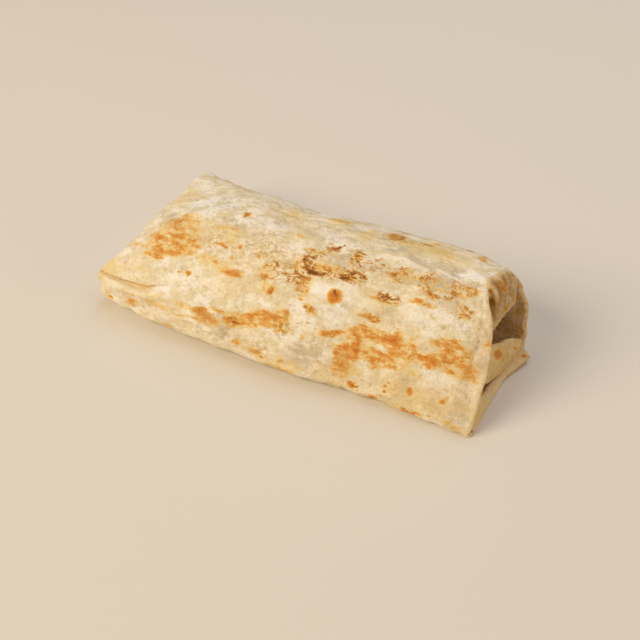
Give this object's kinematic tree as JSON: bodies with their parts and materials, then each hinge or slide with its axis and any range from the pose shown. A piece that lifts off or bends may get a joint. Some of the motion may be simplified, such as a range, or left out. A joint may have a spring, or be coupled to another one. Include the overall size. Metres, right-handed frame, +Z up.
{
  "type": "burrito",
  "caption": "Large flour tortilla rolled round its filling, folded shut at one end, with a loosely tucked open pocket at the other.",
  "frame": {"origin": "middle of the footprint, on the plane the burrito rests on", "axes": "+X along the roll from the shut end to the open tucked end, +Y towards the rounded back of the roll, +Z up"},
  "size_m": [0.1972, 0.1017, 0.0489],
  "materials": {
    "tortilla": "matt cooked wheat dough, pale cream with toasted golden-brown patches"
  },
  "bodies": {
    "root": {"burrito": "tortilla"}
  },
  "joints": []
}
